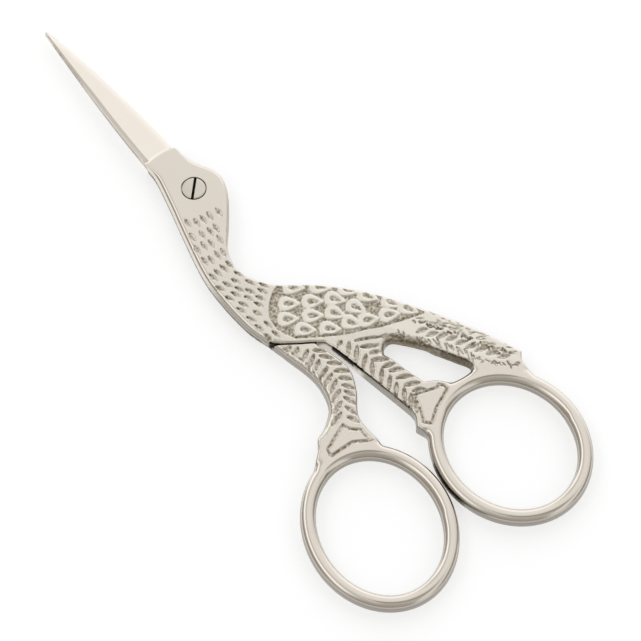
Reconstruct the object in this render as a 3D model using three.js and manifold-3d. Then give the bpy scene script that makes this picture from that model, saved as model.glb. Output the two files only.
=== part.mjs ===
// Stork-shaped embroidery scissors, closed, lying on their back face.
// Lengths are millimetres. The pivot axis is +Z through the origin, the table is z = 0,
// and the blade tips lie on +X. The front half is the one whose face looks up.
import * as THREE from 'three';
import { mergeVertices } from 'three/addons/utils/BufferGeometryUtils.js';
import { ConvexGeometry } from 'three/addons/geometries/ConvexGeometry.js';
import Module from 'manifold-3d';

const wasm = await Module();
wasm.setup();

// Plate: each half is one forging. Its blade, head and neck are half as thick as its body.
const thickness = 3.0;
const lapGap = 0.2; // between the halves where one lies on the other
const sideGap = 0.3; // between the halves where they lie side by side
const edgeRound = 0.45;

// Blades
const bladeReach = 37.3; // pivot to tip
const bladeHeel = 8.0; // pivot to the step where the grinding starts
const spineWidth = 2.95; // axis to the back of the front blade, at the heel
const edgeWidth = 2.3; // axis to the front blade's cutting edge, at the heel
const bladeTuck = 0.15; // how far the rear blade stays inside the front one when closed
const tipWidth = 0.25;
const tipThickness = 0.8; // of one blade at its tip, on the spine side
const edgeThickness = 0.15; // of one blade along its cutting edge
const heelSlope = 1.1; // run of the slope at the heel for each mm of its depth

// Legs, tail and the two finger rings
const legWidth = 4.6;
const tailWidth = 5.6;
const barWidth = 2.4;
const barHeight = 2.8;
const barRound = 1.05;
const footIn = 0.25; // how far the legs reach into a ring's bar, past its middle line
const footOut = 0.9; // where their sides meet the bar, outside its middle line
const frontOpening = { length: 22.0, width: 19.0, turn: -1.8 };
const rearOpening = { length: 22.8, width: 18.4, turn: -16.7 };
const frontFootX = -52.2; // near end of the front ring's middle line
const rearFootX = -49.4; // near end of the rear ring's middle line
const ringsMeetX = -63.0; // a point on the line that parts the rings
const ringsMeetY = 2.75;
const ringsMeetTurn = 6.3; // lean of the line that parts the rings, in degrees

// Pivot screw, countersunk in the front half and threaded into the rear half
const screwHead = 3.7;
const screwHeadHeight = 0.7;
const screwShank = 2.0;
const screwClearance = 0.15;
const slotWidth = 0.45;
const slotDepth = 0.4;
const slotTurn = 133;

// Fineness of the faceted solids
const outlineStep = 1.3;
const bevelSteps = 2;
const ringSides = 44;
const screwSides = 40;
const reach = 20; // how far cutting tools stick out past the plate

const middle = thickness / 2;
const layer = (thickness - lapGap) / 2;
const steel = new THREE.MeshStandardMaterial({ color: 0xcfc8ba, roughness: 0.3, metalness: 1 });
const screwSteel = new THREE.MeshStandardMaterial({ color: 0xc6c0b4, roughness: 0.35, metalness: 1 });

// Shapes in the plane

const point = ([x, y]) => new THREE.Vector2(x, y);
const moved = (points, dx, dy) => points.map(([x, y]) => [x + dx, y + dy]);

// A smooth line through a few points, as short straight steps.
function curve(points) {
  const line = new THREE.SplineCurve(points.map(point));
  return line.getSpacedPoints(Math.max(2, Math.round(line.getLength() / outlineStep)));
}

function corner(...points) {
  return points.map(point);
}

// Joins stretches into one closed line, without doubled points where they meet.
function closed(...stretches) {
  const all = stretches.flat();
  return all.filter((p, i) => p.distanceTo(all[(i + 1) % all.length]) > 0.05);
}

// The point of a ring's middle line, or of a line `out` mm outside it, at an angle in degrees.
function ringPoint(ring, degrees, out = 0) {
  const angle = THREE.MathUtils.degToRad(degrees);
  const x = ((ring.opening.length + barWidth) / 2 + out) * Math.cos(angle);
  const y = ((ring.opening.width + barWidth) / 2 + out) * Math.sin(angle);
  const turn = THREE.MathUtils.degToRad(ring.opening.turn);
  return [
    ring.x + x * Math.cos(turn) - y * Math.sin(turn),
    ring.y + x * Math.sin(turn) + y * Math.cos(turn),
  ];
}

function ringArc(ring, from, to, out = 0) {
  const steps = Math.max(2, Math.round(Math.abs(to - from) / 9));
  const at = (i) => from + ((to - from) * i) / steps;
  return Array.from({ length: steps + 1 }, (_, i) => point(ringPoint(ring, at(i), out)));
}

// Half the reach of a ring's middle line in a direction, given in degrees.
function ringReach(opening, degrees) {
  const lean = THREE.MathUtils.degToRad(degrees - opening.turn);
  const long = ((opening.length + barWidth) / 2) * Math.cos(lean);
  const wide = ((opening.width + barWidth) / 2) * Math.sin(lean);
  return Math.hypot(long, wide);
}

// Places a ring by its near end, so that its outside just reaches the line that parts the rings.
function placedRing(opening, footX, side) {
  const x = footX - ringReach(opening, 0);
  const lean = THREE.MathUtils.degToRad(ringsMeetTurn);
  const room = ringReach(opening, 90 - ringsMeetTurn) + (barWidth + sideGap) / 2;
  const lineY = ringsMeetY - (x - ringsMeetX) * Math.tan(lean);
  return { opening, x, y: lineY + (side * room) / Math.cos(lean) };
}

const frontRing = placedRing(frontOpening, frontFootX, -1);
const rearRing = placedRing(rearOpening, rearFootX, 1);

// Outlines. The halves share the head, the neck and the belly, one lying on the other.

const heelFront = [bladeHeel - 0.3, -edgeWidth];
const nape = [-16.8, 3.45]; // back of the neck, where the rear half goes under the front body
const belly = [-28.0, 7.85]; // where the split between the halves reaches the side

const headAndNeck = [
  heelFront, [5.2, -2.6], [3.1, -3.3], [0.7, -4.5], [-1.6, -4.6], [-4.6, -3.2], [-8.3, -0.2],
  [-11.3, 2.5], [-14.4, 3.65], nape,
];
const napeToTail = [
  nape, [-20.6, 1.2], [-25.0, -3.9], [-30.2, -8.5], [-36.2, -12.4], [-44.9, -17.1],
  ringPoint(frontRing, -48, 4.3),
];
const throat = [
  belly, [-26.2, 8.35], [-23.4, 8.85], [-18.3, 8.95], [-12.6, 8.4], [-5.5, 6.45], [0.3, 4.65],
  [5.2, 3.3], [bladeHeel, spineWidth - 0.2],
];
const split = [[-29.2, 6.85], [-31.0, 4.5], [-32.1, 2.95], [-33.4, 1.4]];
const frontLegInside = [[-33.4, 1.4], [-36.2, 0.75], [-42.3, -0.15], ringPoint(frontRing, 33, 4.8)];
const rearLegInside = [
  [-33.4, 2.5], [-35.4, 1.85], [-39.2, 1.4], [-42.6, 2.85], ringPoint(rearRing, -15.5, 5.4),
  ringPoint(rearRing, -27, 1.7),
];
const underNeck = [nape, [-22.0, 3.3], [-28.0, 2.95], rearLegInside[0]];
const tailCorner = napeToTail.at(-1);

// Half the width of a blade along its length: share 0 is the heel and share 1 the tip.
function bladeSide(heelWidth, fullness, side) {
  const share = [0, 0.2, 0.4, 0.6, 0.8, 0.93, 1];
  const width = (s) => tipWidth + (heelWidth - tipWidth) * (1 - s ** fullness);
  const x = (s) => bladeHeel + (bladeReach - bladeHeel) * s;
  return share.map((s) => [x(s), side * width(s) * (s === 1 ? 0.4 : 1)]);
}

// A blade from above. The belly side is +Y: the front blade's spine, the rear blade's edge.
function bladeOutline(tuck) {
  const rootX = bladeHeel - 2.8;
  const bellySide = bladeSide(spineWidth - tuck, 1.35, 1);
  const backSide = bladeSide(edgeWidth - tuck, 2.6, -1).reverse();
  const root = [[rootX, -edgeWidth + 0.25], [rootX, spineWidth - 0.3]];
  return closed([...bellySide, ...backSide, ...root].map(point));
}

function frontOutline() {
  const spur = ringPoint(frontRing, 43.5, 3.0);
  return closed(
    curve(headAndNeck), curve(napeToTail),
    curve([tailCorner, ringPoint(frontRing, -51, 2.3), ringPoint(frontRing, -66, footOut)]),
    ringArc(frontRing, -66, 54, -footIn),
    curve([ringPoint(frontRing, 54, footOut), ringPoint(frontRing, 47, 1.6), spur]),
    curve([spur, ringPoint(frontRing, 36.5, 3.5), frontLegInside.at(-1)]),
    curve([...frontLegInside].reverse()), curve([...split].reverse()),
    curve([split[0], [-28.4, 7.55], belly]), curve(throat),
  );
}

function rearOutline() {
  const foot = [ringPoint(rearRing, 16.5, 2.8), ringPoint(rearRing, 11.5, 4.4), ringPoint(rearRing, 4, 5.7)];
  const outside = [...foot, ...moved([[-42.0, 3.3], [-38.8, 2.1], [-35.6, 2.0]], 0, legWidth), [-31.4, 7.35], belly];
  return closed(
    curve(headAndNeck), curve(underNeck), curve(rearLegInside),
    curve([rearLegInside.at(-1), ringPoint(rearRing, -35, 0.75), ringPoint(rearRing, -44, footOut)]),
    ringArc(rearRing, -44, 34, -footIn),
    curve([ringPoint(rearRing, 34, footOut), ...outside]), curve(throat),
  );
}

// The gap between the front leg, the tail and the ring.
function tailWindow() {
  const legSide = moved([[-40.6, 0.2], [-44.5, -0.5], [-48.1, -1.3]], 0, -legWidth);
  const tailSide = moved([[-46.0, -17.6], [-41.8, -15.35], [-37.9, -12.6]], -0.43 * tailWidth, 0.9 * tailWidth);
  const edge = barWidth / 2 + sideGap;
  const ringSide = [ringPoint(frontRing, 9, edge + 1.7), ringPoint(frontRing, 2, edge), ringPoint(frontRing, -14, edge)];
  return closed(
    curve(legSide),
    curve([legSide.at(-1), ...ringSide, ringPoint(frontRing, -16, edge + 1.2), tailSide[0]]),
    curve([...tailSide, [-39.4, -6.5], [-39.6, -5.3], legSide[0]]),
  );
}

// Solids

// A geometry as a solid that can be joined and cut.
function solid(geometry) {
  const bare = geometry.clone();
  for (const name of Object.keys(bare.attributes)) {
    if (name !== 'position') bare.deleteAttribute(name);
  }
  const merged = mergeVertices(bare, 1e-5);
  return new wasm.Manifold(new wasm.Mesh({
    numProp: 3,
    vertProperties: new Float32Array(merged.attributes.position.array),
    triVerts: new Uint32Array(merged.index.array),
  }));
}

function geometryOf(body) {
  const mesh = body.getMesh();
  const geometry = new THREE.BufferGeometry();
  geometry.setAttribute('position', new THREE.BufferAttribute(new Float32Array(mesh.vertProperties), 3));
  geometry.setIndex(new THREE.BufferAttribute(new Uint32Array(mesh.triVerts), 1));
  geometry.computeVertexNormals();
  return geometry;
}

// An outline given height from z = low to z = high, its edges rounded by `round`.
function plate(outline, low, high, round = 0, hole = null) {
  const shape = new THREE.Shape(THREE.ShapeUtils.isClockWise(outline) ? [...outline].reverse() : outline);
  if (hole) shape.holes.push(new THREE.Path(hole));
  const rounding = { bevelThickness: round, bevelSize: round, bevelOffset: -round, bevelSegments: bevelSteps };
  const geometry = new THREE.ExtrudeGeometry(shape, {
    depth: high - low - 2 * round, bevelEnabled: round > 0, ...rounding,
  });
  return solid(geometry.translate(0, 0, low + round));
}

// One finger ring: a flat oval band with well rounded edges.
function fingerRing(ring) {
  const oval = (out) => Array.from(
    { length: ringSides }, (_, i) => point(ringPoint(ring, (i * 360) / ringSides, out)),
  );
  const shape = new THREE.Shape(oval(barWidth / 2));
  shape.holes.push(new THREE.Path(oval(-barWidth / 2)));
  const geometry = new THREE.ExtrudeGeometry(shape, {
    depth: barHeight - 2 * barRound, bevelEnabled: true, bevelSegments: 3,
    bevelThickness: barRound, bevelSize: barRound, bevelOffset: -barRound,
  });
  return solid(geometry.translate(0, 0, (thickness - barHeight) / 2 + barRound));
}

// What grinding takes off the front blade: above a face that falls from the spine to the cutting
// edge and from the heel to the tip, up to a slope at the heel.
function grindingTool() {
  const fall = (layer - edgeThickness) / (spineWidth + edgeWidth);
  const tipFall = (layer - tipThickness) / (bladeReach - bladeHeel);
  const top = thickness + reach;
  const face = (x, y) => thickness - fall * (spineWidth - y) - tipFall * (x - bladeHeel) * (1 - fall);
  const heel = (y) => {
    const depth = thickness - face(bladeHeel, y);
    return bladeHeel + (heelSlope * depth) / (1 + heelSlope * tipFall);
  };
  const corners = [];
  for (const y of [-reach / 2, reach / 2]) {
    const x = heel(y);
    corners.push(new THREE.Vector3(x, y, face(x, y)));
    corners.push(new THREE.Vector3(bladeReach + 5, y, face(bladeReach + 5, y)));
    corners.push(new THREE.Vector3(bladeReach + 5, y, top));
    corners.push(new THREE.Vector3(bladeHeel - heelSlope * (top - thickness), y, top));
  }
  return solid(new ConvexGeometry(corners));
}

// A solid of revolution about the pivot axis, from [radius, z] pairs.
function turned(profile) {
  return solid(new THREE.LatheGeometry(profile.map(point), screwSides).rotateX(Math.PI / 2));
}

function overTurned(body) {
  return body.translate([0, 0, -middle]).rotate([180, 0, 0]).translate([0, 0, middle]);
}

// The pieces

function frontHalf() {
  const underside = [
    ...moved(underNeck, 0.3, -sideGap), [rearLegInside[0][0] - 1.5, rearLegInside[0][1] - sideGap],
    [rearLegInside[0][0] - 1.5, reach], [bladeReach + reach, reach], [bladeReach + reach, -reach],
    [nape[0] + 0.3, -reach],
  ];
  const headRoom = turned([
    [0, thickness - screwHeadHeight - screwClearance], [screwHead / 2 + screwClearance, thickness
      - screwHeadHeight - screwClearance], [screwHead / 2 + screwClearance, thickness + 1], [0, thickness + 1],
  ]);
  const shankRoom = turned([
    [0, -1], [screwShank / 2 + screwClearance, -1], [screwShank / 2 + screwClearance, thickness + 1],
    [0, thickness + 1],
  ]);
  return plate(frontOutline(), 0, thickness, edgeRound, tailWindow())
    .add(plate(bladeOutline(0), 0, thickness))
    .subtract(grindingTool())
    .subtract(plate(underside.map(point), -reach, middle + lapGap / 2))
    .add(fingerRing(frontRing))
    .subtract(headRoom)
    .subtract(shankRoom);
}

function rearHalf() {
  const upside = [
    [belly[0] - 0.35, belly[1] + 0.2], ...moved(split, -sideGap * 0.8, sideGap * 0.6),
    [split.at(-1)[0] - sideGap, -reach], [bladeReach + reach, -reach], [bladeReach + reach, reach],
    [belly[0] + 0.4, reach],
  ];
  const shankRoom = turned([
    [0, -1], [screwShank / 2 + screwClearance, -1], [screwShank / 2 + screwClearance, thickness + 1],
    [0, thickness + 1],
  ]);
  return plate(rearOutline(), 0, thickness, edgeRound)
    .add(plate(bladeOutline(bladeTuck), 0, thickness))
    .subtract(overTurned(grindingTool()))
    .subtract(plate(upside.map(point), middle - lapGap / 2, thickness + reach))
    .add(fingerRing(rearRing))
    .subtract(shankRoom);
}

function pivotScrew() {
  const screw = turned([
    [0, 0], [screwShank / 2, 0], [screwShank / 2, thickness - screwHeadHeight],
    [screwHead / 2, thickness - screwHeadHeight], [screwHead / 2, thickness], [0, thickness],
  ]);
  const slot = new THREE.BoxGeometry(screwHead * 1.5, slotWidth, slotDepth * 2)
    .rotateZ(THREE.MathUtils.degToRad(slotTurn)).translate(0, 0, thickness);
  return screw.subtract(solid(slot));
}

const scissors = new THREE.Group();
const pieces = [['front_half', frontHalf(), steel], ['rear_half', rearHalf(), steel], ['pivot_screw', pivotScrew(), screwSteel]];
for (const [name, body, material] of pieces) {
  const mesh = new THREE.Mesh(geometryOf(body), material);
  mesh.name = name;
  scissors.add(mesh);
}

export default scissors;
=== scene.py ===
# %% [markdown]
# # Stork embroidery scissors
# Small scissors shaped like a stork: the blades are its beak, the screw is its eye, and the finger
# rings hang from its legs and tail. The real thing is two steel forgings and one screw, ground,
# nickel plated and polished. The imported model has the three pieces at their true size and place.
# Here each of them is made again with rounded edges, engraved plumage and a metal finish, in the
# same frame, so nothing has to be fitted afterwards. Lengths below are millimetres.

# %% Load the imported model
import math

import bmesh
import bpy
import numpy as np
from mathutils import Matrix, Vector
from mathutils.geometry import delaunay_2d_cdt


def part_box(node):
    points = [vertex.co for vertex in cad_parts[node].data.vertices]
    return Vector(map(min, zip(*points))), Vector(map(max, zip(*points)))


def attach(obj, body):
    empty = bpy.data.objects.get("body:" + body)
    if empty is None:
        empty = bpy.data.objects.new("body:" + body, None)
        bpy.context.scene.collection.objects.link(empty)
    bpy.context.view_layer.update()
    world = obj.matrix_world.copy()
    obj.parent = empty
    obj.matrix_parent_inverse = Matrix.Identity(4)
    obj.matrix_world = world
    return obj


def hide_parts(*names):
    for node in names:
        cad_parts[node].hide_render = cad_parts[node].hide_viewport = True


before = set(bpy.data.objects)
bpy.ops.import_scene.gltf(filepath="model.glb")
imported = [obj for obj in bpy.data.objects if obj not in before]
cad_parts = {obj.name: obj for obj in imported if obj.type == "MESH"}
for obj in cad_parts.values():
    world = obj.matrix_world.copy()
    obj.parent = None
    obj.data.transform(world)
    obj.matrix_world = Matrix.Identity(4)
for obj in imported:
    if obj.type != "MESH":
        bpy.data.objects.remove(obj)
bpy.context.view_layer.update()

MM = 0.001
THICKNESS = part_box("front_half")[1].z / MM
MIDDLE = THICKNESS / 2
BLADE_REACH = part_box("front_half")[1].x / MM
print(f"plate {THICKNESS:.2f} mm thick, blades reach {BLADE_REACH:.1f} mm past the pivot")

# %% [markdown]
# ## Camera
# The photograph was taken from well above the table, with a long lens from about two thirds of a
# metre, so the outline keeps nearly parallel lines. The scissors lie across the picture. The
# model's axes stay with the scissors, so it is the camera that is turned to match.

# %% Camera
VIEW_HEIGHT = math.radians(64.0)  # above the table
VIEW_DISTANCE = 0.65  # metres
LENS = 237.3
BLADE_LEAN = math.radians(129.95)  # the blades' direction in the picture, from its right side
AIM = Vector((-29.06, -1.35, 0)) * MM


def make_camera():
    """A camera that looks at AIM, with the picture's right side turned away from the blades."""
    right = Vector((math.cos(BLADE_LEAN), -math.sin(BLADE_LEAN), 0))
    away = Vector((math.sin(BLADE_LEAN), math.cos(BLADE_LEAN), 0))
    back = Vector((0, 0, math.sin(VIEW_HEIGHT))) - away * math.cos(VIEW_HEIGHT)
    data = bpy.data.cameras.new("camera")
    data.lens = LENS
    camera = bpy.data.objects.new("camera", data)
    turn = Matrix((right, back.cross(right), back)).transposed()
    camera.matrix_world = Matrix.Translation(AIM + back * VIEW_DISTANCE) @ turn.to_4x4()
    bpy.context.scene.collection.objects.link(camera)
    bpy.context.scene.camera = camera
    return camera


camera = make_camera()
print("camera at", [round(value, 3) for value in camera.matrix_world.translation])

# %% [markdown]
# ## Outlines
# A forging like this is a flat shape with a thickness, so its outline carries most of its
# character. Each outline is a few points with smooth lines through them. The rings are ovals, and
# what grows out of a ring is placed from that ring, so that it follows when a ring changes.

# %% Curves through points
STEP = 0.19  # spacing of points along an outline
PIECE_STEPS = 30  # points worked out from each given point to the next, before they are spaced


def ramp(low, high, value):
    """0 below low, 1 above high, and smooth between them."""
    share = np.clip((np.asarray(value, float) - low) / (high - low), 0, 1)
    return share * share * (3 - 2 * share)


def spaced(line, step):
    """The same line as points at even distances, both ends kept."""
    along = np.r_[0, np.cumsum(np.hypot(*np.diff(line, axis=0).T))]
    count = max(1, round(along[-1] / step))
    wanted = np.linspace(0, along[-1], count + 1)
    return np.c_[np.interp(wanted, along, line[:, 0]), np.interp(wanted, along, line[:, 1])]


def smooth(points, step=STEP):
    """A smooth line through the points, which leaves each one in the direction of its neighbours."""
    p = np.array([points[0], *points, points[-1]], float)
    t = np.linspace(0, 1, PIECE_STEPS)[:, None]
    pieces = []
    for before, start, end, after in zip(p, p[1:], p[2:], p[3:]):
        leave, arrive = (end - before) / 2, (after - start) / 2
        cubic = (2 * start - 2 * end + leave + arrive) * t**3
        square = (-3 * start + 3 * end - 2 * leave - arrive) * t**2
        pieces.append(cubic + square + leave * t + start)
    return spaced(np.vstack(pieces), step)


def moved(points, dx, dy):
    return [(x + dx, y + dy) for x, y in points]


def joined(*stretches):
    """One closed line out of stretches, without doubled points where they meet."""
    line = np.vstack([np.asarray(s, float) for s in stretches])
    gap = np.hypot(*(np.roll(line, -1, 0) - line).T)
    return line[gap > STEP / 4]


print("a quarter circle of three points becomes", len(smooth([(0, 5), (3.5, 3.5), (5, 0)])), "points")

# %% Finger rings
BAR_WIDTH = 2.4
BAR_HEIGHT = 2.8
BAR_ROUND = 1.1
SIDE_GAP = 0.3  # between the halves, side by side
FRONT_OPENING = {"length": 22.0, "width": 19.0, "turn": math.radians(-1.8)}
REAR_OPENING = {"length": 22.8, "width": 18.4, "turn": math.radians(-16.7)}
FRONT_FOOT_X = -52.2  # near end of the front ring's middle line
REAR_FOOT_X = -49.4
RINGS_MEET = (-63.0, 2.75)  # a point on the line that parts the rings
RINGS_MEET_TURN = math.radians(6.3)


def half_axes(ring):
    """Half the length and half the width of a ring's middle line."""
    return (ring["length"] + BAR_WIDTH) / 2, (ring["width"] + BAR_WIDTH) / 2


def ring_point(ring, degrees, out=0.0):
    """A point of a ring's middle line, or of the line `out` mm outside it."""
    long, wide = half_axes(ring)
    x = (long + out) * np.cos(np.radians(degrees))
    y = (wide + out) * np.sin(np.radians(degrees))
    c, s = math.cos(ring["turn"]), math.sin(ring["turn"])
    return np.stack([ring["x"] + x * c - y * s, ring["y"] + x * s + y * c], -1)


def ring_points(ring, *places):
    """Points placed from a ring, each by its angle and how far outside the middle line it lies."""
    return [ring_point(ring, degrees, out) for degrees, out in places]


def ring_arc(ring, start, end, out=0.0):
    """A stretch of such a line, with a point for each degree."""
    return ring_point(ring, np.linspace(start, end, abs(end - start) + 1), out)


def out_of_ring(ring, points):
    """How far points lie outside a ring's middle line, negative inside."""
    c, s = math.cos(ring["turn"]), math.sin(ring["turn"])
    dx, dy = points[:, 0] - ring["x"], points[:, 1] - ring["y"]
    x, y = dx * c + dy * s, dy * c - dx * s
    long, wide = half_axes(ring)
    reach = np.hypot(x / long, y / wide)
    return np.hypot(x, y) * (1 - 1 / np.maximum(reach, 1e-6))


def ring_reach(opening, direction):
    """Half the reach of a ring's middle line in a direction."""
    lean = direction - opening["turn"]
    long, wide = half_axes(opening)
    return math.hypot(long * math.cos(lean), wide * math.sin(lean))


def placed_ring(opening, foot_x, side):
    """A ring placed by its near end, its outside just reaching the line that parts the rings."""
    x = foot_x - ring_reach(opening, 0)
    room = ring_reach(opening, math.pi / 2 - RINGS_MEET_TURN) + (BAR_WIDTH + SIDE_GAP) / 2
    line_y = RINGS_MEET[1] - (x - RINGS_MEET[0]) * math.tan(RINGS_MEET_TURN)
    return {**opening, "x": x, "y": line_y + side * room / math.cos(RINGS_MEET_TURN)}


FRONT_RING = placed_ring(FRONT_OPENING, FRONT_FOOT_X, -1)
REAR_RING = placed_ring(REAR_OPENING, REAR_FOOT_X, 1)
print("ring centres:", [(round(ring["x"], 1), round(ring["y"], 1)) for ring in (FRONT_RING, REAR_RING)])

# %% Body outlines
LEG_WIDTH = 4.6
TAIL_WIDTH = 5.6
ACROSS_TAIL = (-0.43 * TAIL_WIDTH, 0.9 * TAIL_WIDTH)
FRONT_FOOT = (-66, 54)  # stretch of each ring, in degrees, that the tail and the legs grow out of
REAR_FOOT = (-44, 34)
FOOT_IN = 0.25
FOOT_OUT = 0.9
BLADE_HEEL = 8.0
SPINE_WIDTH = 3.05
SPINE_CURVE = 1.35  # how a side runs to the tip: 1 is straight, and more is fuller
EDGE_WIDTH = 2.3
EDGE_CURVE = 2.6
BLADE_TUCK = 0.15  # how far the rear blade stays inside the front one
TIP_WIDTH = 0.25
TIP_POINTED = 0.4  # the last point keeps this share of the tip's width
BLADE_POINTS = 150

HEAD_END = BLADE_HEEL - 0.4  # where the head's outline goes over into the blade's
HEEL_FRONT = (HEAD_END, -EDGE_WIDTH)
NAPE = (-16.8, 3.45)
BELLY = (-28.0, 7.85)
BELLY_TURN = (-28.4, 7.55)
HEAD_AND_NECK = [
    HEEL_FRONT, (5.2, -2.6), (3.1, -3.3), (0.7, -4.5), (-1.6, -4.6), (-4.6, -3.2), (-8.3, -0.2),
    (-11.3, 2.5), (-14.4, 3.65), NAPE,
]
NAPE_TO_TAIL = [
    NAPE, (-20.6, 1.2), (-25.0, -3.9), (-30.2, -8.5), (-36.2, -12.4), (-44.9, -17.1),
    ring_point(FRONT_RING, -48, 4.3),
]
THROAT = [
    BELLY, (-26.2, 8.35), (-23.4, 8.85), (-18.3, 8.95), (-12.6, 8.4), (-5.5, 6.45), (0.3, 4.65),
    (5.2, 3.3), (HEAD_END, SPINE_WIDTH),
]
SPLIT = [(-29.2, 6.85), (-31.0, 4.5), (-32.1, 2.95), (-33.4, 1.4)]
FRONT_LEG_INSIDE = [SPLIT[-1], (-36.2, 0.75), (-42.3, -0.15), ring_point(FRONT_RING, 33, 4.8)]
REAR_LEG_INSIDE = [
    (-33.4, 2.5), (-35.4, 1.85), (-39.2, 1.4), (-42.6, 2.85),
    *ring_points(REAR_RING, (-15.5, 5.4), (-27, 1.7)),
]
UNDER_NECK = [NAPE, (-22.0, 3.3), (-28.0, 2.95), REAR_LEG_INSIDE[0]]


def blade_side(heel_width, fullness, side):
    """One side of a blade from heel to tip."""
    share = np.linspace(0, 1, BLADE_POINTS)
    width = TIP_WIDTH + (heel_width - TIP_WIDTH) * (1 - share**fullness)
    width[-1] *= TIP_POINTED
    return np.c_[BLADE_HEEL + (BLADE_REACH - BLADE_HEEL) * share, side * width]


def spine_side(tuck=0.0):
    return blade_side(SPINE_WIDTH - tuck, SPINE_CURVE, 1)


def edge_side(tuck=0.0):
    return blade_side(EDGE_WIDTH - tuck, EDGE_CURVE, -1)


def front_outline():
    tail_foot = ring_points(FRONT_RING, (-51, 2.3), (FRONT_FOOT[0], FOOT_OUT))
    leg_foot = ring_points(FRONT_RING, (FRONT_FOOT[1], FOOT_OUT), (47, 1.6), (43.5, 3.0))
    spur = ring_points(FRONT_RING, (43.5, 3.0), (36.5, 3.5))
    return joined(
        smooth(HEAD_AND_NECK), smooth(NAPE_TO_TAIL), smooth([NAPE_TO_TAIL[-1], *tail_foot]),
        ring_arc(FRONT_RING, *FRONT_FOOT, -FOOT_IN), smooth(leg_foot),
        smooth([*spur, FRONT_LEG_INSIDE[-1]]), smooth(FRONT_LEG_INSIDE[::-1]), smooth(SPLIT[::-1]),
        smooth([SPLIT[0], BELLY_TURN, BELLY]), smooth(THROAT), spine_side(), edge_side()[::-1],
    )


def rear_outline():
    inner_foot = ring_points(REAR_RING, (-35, 0.75), (REAR_FOOT[0], FOOT_OUT))
    outer_foot = ring_points(REAR_RING, (REAR_FOOT[1], FOOT_OUT), (16.5, 2.8), (11.5, 4.4), (4, 5.7))
    shin = moved([(-42.0, 3.3), (-38.8, 2.1), (-35.6, 2.0)], 0, LEG_WIDTH)
    return joined(
        smooth(HEAD_AND_NECK), smooth(UNDER_NECK), smooth(REAR_LEG_INSIDE),
        smooth([REAR_LEG_INSIDE[-1], *inner_foot]), ring_arc(REAR_RING, *REAR_FOOT, -FOOT_IN),
        smooth([*outer_foot, *shin, (-31.4, 7.35), BELLY]), smooth(THROAT),
        spine_side(BLADE_TUCK), edge_side(BLADE_TUCK)[::-1],
    )


def tail_window():
    """The opening between the leg, the tail and the ring's bar."""
    leg_side = moved([(-40.6, 0.2), (-44.5, -0.5), (-48.1, -1.3)], 0, -LEG_WIDTH)
    tail_side = moved([(-46.0, -17.6), (-41.8, -15.35), (-37.9, -12.6)], *ACROSS_TAIL)
    bar = BAR_WIDTH / 2 + SIDE_GAP
    ring_side = ring_points(FRONT_RING, (9, bar + 1.7), (2, bar), (-14, bar), (-16, bar + 1.2))
    return joined(
        smooth(leg_side), smooth([leg_side[-1], *ring_side, tail_side[0]]),
        smooth([*tail_side, (-39.4, -6.5), (-39.6, -5.3), leg_side[0]]),
    )


print(len(front_outline()), "points round the front half,", len(rear_outline()), "round the rear half")

# %% [markdown]
# ## Plates with rounded edges
# A die-struck plate has soft edges that catch a bright line of light. The outline, the ring and
# the window are first united in the plane. Rows of points are then laid inside the edge, at the
# distances where a quarter round turns by nearly even angles, and a fine grid fills the rest, so that
# the engraving has something to push on. A Delaunay triangulation joins them, and every point's
# height follows from its distance to the edge. It gives a closed mesh whose edge rows are even,
# which a bevel on a triangulated outline would not.

# %% Regions in the plane
EPSILON = 1e-5
CORNER = math.radians(28)  # an outline that turns more than this at a point keeps the point


def area(loop):
    """Signed area, positive when the line runs counter-clockwise."""
    ahead = np.roll(loop, -1, 0)
    return (loop[:, 0] * ahead[:, 1] - ahead[:, 0] * loop[:, 1]).sum() / 2


def triangulate(loops, loose=()):
    """Triangles over closed lines and loose points, with the lines that each triangle lies in."""
    points, faces = [], []
    for loop in loops:
        faces.append(list(range(len(points), len(points) + len(loop))))
        points.extend(Vector(p) for p in (loop if area(loop) > 0 else loop[::-1]))
    points.extend(Vector(p) for p in loose)
    verts, _, tris, _, _, origin = delaunay_2d_cdt(points, [], faces, 1, EPSILON)
    return np.array([tuple(v) for v in verts]), tris, origin


def within(tris, origin, solid_count):
    """The triangles inside the first lines and outside the others."""
    kept = []
    for tri, lines in zip(tris, origin):
        if lines and min(lines) < solid_count and max(lines) < solid_count:
            kept.append(tuple(tri))
    return kept


def rims(tris):
    """The closed rows of vertices round a set of triangles, with the triangles on their left."""
    sides = {(a, b) for t in tris for a, b in zip(t, t[1:] + t[:1])}
    follow = {a: b for a, b in sides if (b, a) not in sides}
    loops = []
    while follow:
        start, here = follow.popitem()
        loop = [start]
        while here != start:
            loop.append(here)
            here = follow.pop(here)
        loops.append(loop)
    return loops


def evened(loop):
    """A closed line with even spacing, its corners kept."""
    ahead = np.roll(loop, -1, 0) - loop
    heading = np.arctan2(ahead[:, 1], ahead[:, 0])
    turn = (heading - np.roll(heading, 1) + math.pi) % (2 * math.pi) - math.pi
    corners = np.flatnonzero(np.abs(turn) > CORNER)
    if len(corners) == 0:
        corners = np.array([0])
    parts = []
    for start, end in zip(corners, np.r_[corners[1:], corners[0] + len(loop)]):
        stretch = loop[np.arange(start, end + 1) % len(loop)]
        parts.append(spaced(stretch, STEP)[:-1])
    return np.vstack(parts)


def united(solids, holes):
    """The outer line of overlapping shapes, and the lines of their holes."""
    points, tris, origin = triangulate([*solids, *holes])
    loops = [points[loop] for loop in rims(within(tris, origin, len(solids)))]
    return sorted((evened(loop) for loop in loops), key=len, reverse=True)


def half_loops(outline, ring, *windows):
    """The lines of one half: its outline and its ring's bar united, and then its holes."""
    bar, opening = (ring_arc(ring, 0, 359, side * BAR_WIDTH / 2) for side in (1, -1))
    return united([outline, bar], [opening, *windows])


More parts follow.
